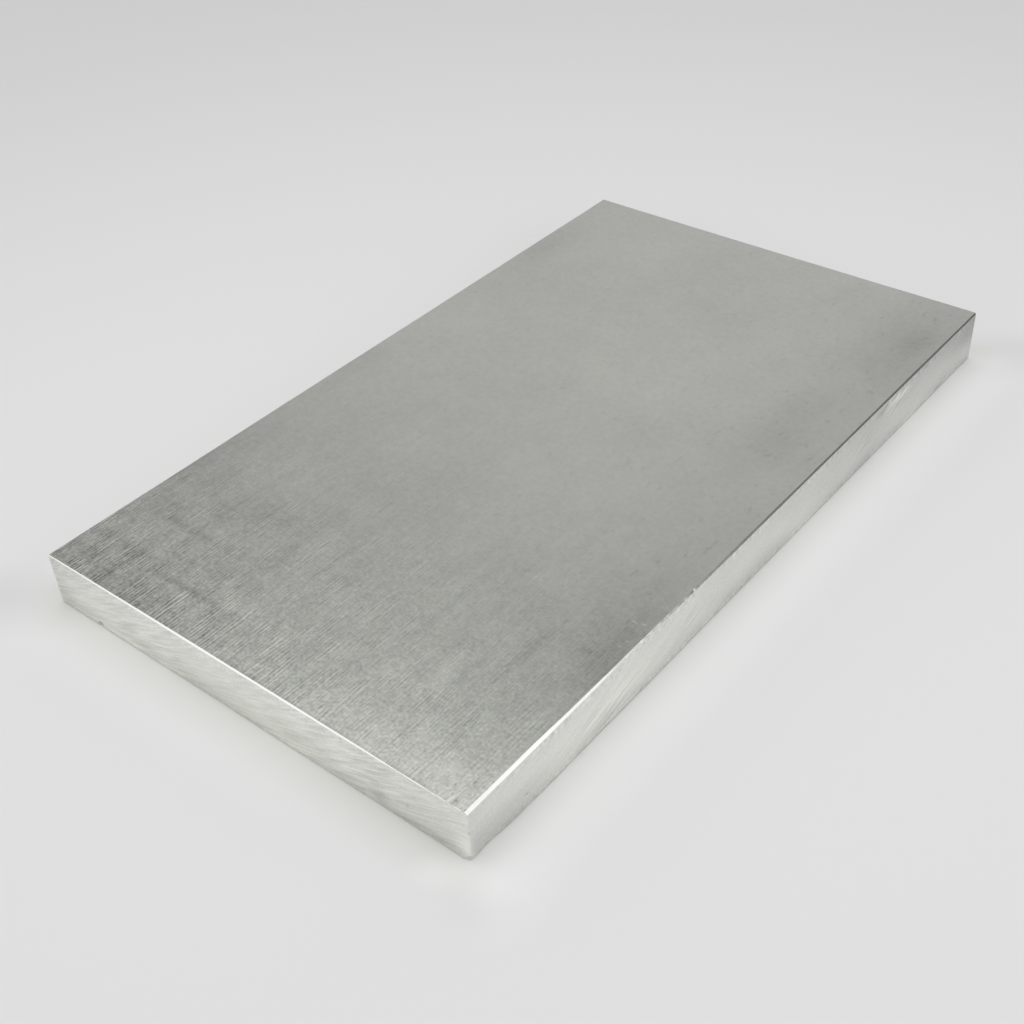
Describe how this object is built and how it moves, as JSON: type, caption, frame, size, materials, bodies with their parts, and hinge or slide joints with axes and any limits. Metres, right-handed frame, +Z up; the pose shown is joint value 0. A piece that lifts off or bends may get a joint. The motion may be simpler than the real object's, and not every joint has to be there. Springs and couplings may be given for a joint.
{
  "type": "aluminium plate",
  "caption": "Flat rectangular block of rolled aluminium plate, sawn to size, with its edges lightly filed; raw stock for machining.",
  "frame": {"origin": "centre of the bottom face, on the surface that the plate lies on", "axes": "+X across the width, +Y along the length (the rolling direction), +Z up out of the top face"},
  "size_m": [0.175, 0.3, 0.02],
  "materials": {
    "aluminium": "mill finish on the top and bottom faces, sawn sides and ends, bright filed edges"
  },
  "bodies": {
    "root": {"plate": "aluminium"}
  },
  "joints": []
}
